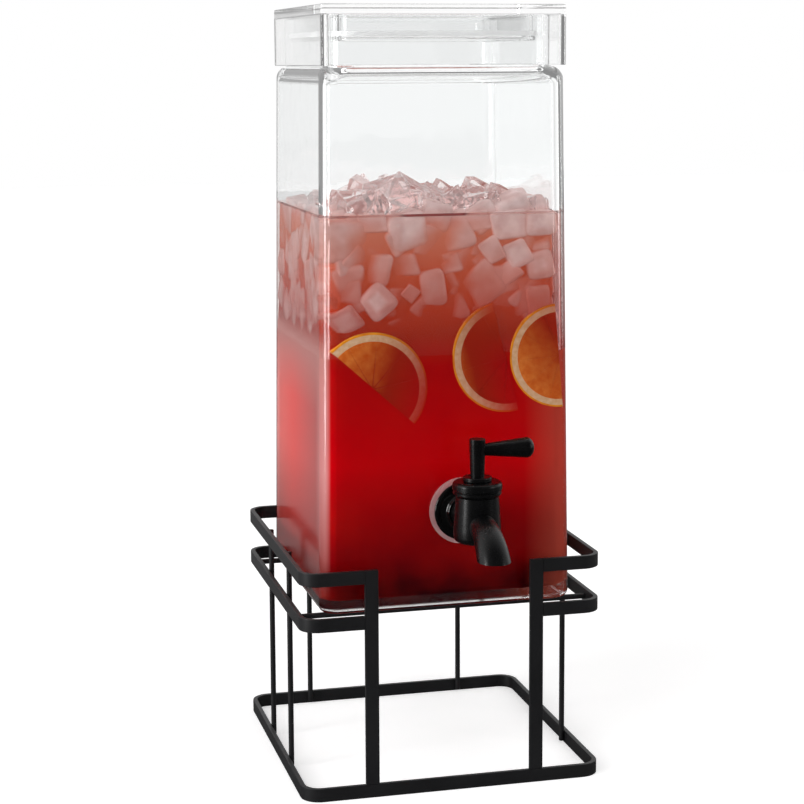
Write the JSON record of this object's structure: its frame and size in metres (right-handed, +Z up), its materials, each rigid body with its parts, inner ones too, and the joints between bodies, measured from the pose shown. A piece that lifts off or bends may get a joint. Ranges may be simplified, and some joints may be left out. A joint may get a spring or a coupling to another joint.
{
  "type": "glass beverage dispenser",
  "caption": "Square glass drink jar with a lift-off clear lid and a quarter-turn lever tap, standing in a welded black bar stand with an open front.",
  "frame": {"origin": "centre of the bounding box's underside, on the plane that the stand's base ring rests on", "axes": "+Z up, -Y towards the front, where the tap is, +X to the right seen from the front"},
  "size_m": [0.192, 0.257, 0.4834],
  "materials": {
    "stand_black": "satin black powder coat on steel",
    "jar_glass": "clear pressed soda-lime glass",
    "lid_acrylic": "clear moulded acrylic",
    "silicone": "translucent soft silicone",
    "gloss_black": "polished black moulding",
    "satin_black": "satin black moulding",
    "valve_white": "natural acetal",
    "ring_rubber": "black nitrile rubber"
  },
  "bodies": {
    "stand": {"stand_base_ring": "stand_black", "stand_middle_ring": "stand_black", "stand_top_rail": "stand_black", "stand_front_leg_left": "stand_black", "stand_front_leg_right": "stand_black", "stand_rod_left_front": "stand_black", "stand_rod_left_back": "stand_black", "stand_rod_right_front": "stand_black", "stand_rod_right_back": "stand_black", "stand_rod_rear_left": "stand_black", "stand_rod_rear_right": "stand_black", "stand_cross_rod_front": "stand_black", "stand_cross_rod_back": "stand_black"},
    "jar": {"glass_jar": "jar_glass", "tap_outer_washer": "silicone", "tap_escutcheon": "gloss_black", "tap_body": "satin_black", "tap_inner_washer": "silicone", "tap_lock_nut": "satin_black", "tap_bonnet": "satin_black"},
    "lever": {"valve_plug": "valve_white", "valve_ring_lower": "ring_rubber", "valve_ring_upper": "ring_rubber", "lever_disc": "satin_black", "lever_post": "satin_black", "lever_arm": "satin_black"},
    "lid": {"lid_shell": "lid_acrylic", "lid_seal": "silicone"}
  },
  "joints": [
    {"name": "jar_lift", "type": "slide", "parent": "stand", "child": "jar", "axis": [0, 0, 1], "range_m": [0, 0.12]},
    {"name": "lid_lift", "type": "slide", "parent": "jar", "child": "lid", "axis": [0, 0, 1], "range_m": [0, 0.08]},
    {"name": "tap_turn", "type": "hinge", "parent": "jar", "child": "lever", "pos_m": [0.0085, -0.08224, 0.2], "axis": [0, 0, 1], "range_deg": [-90, 0]}
  ]
}
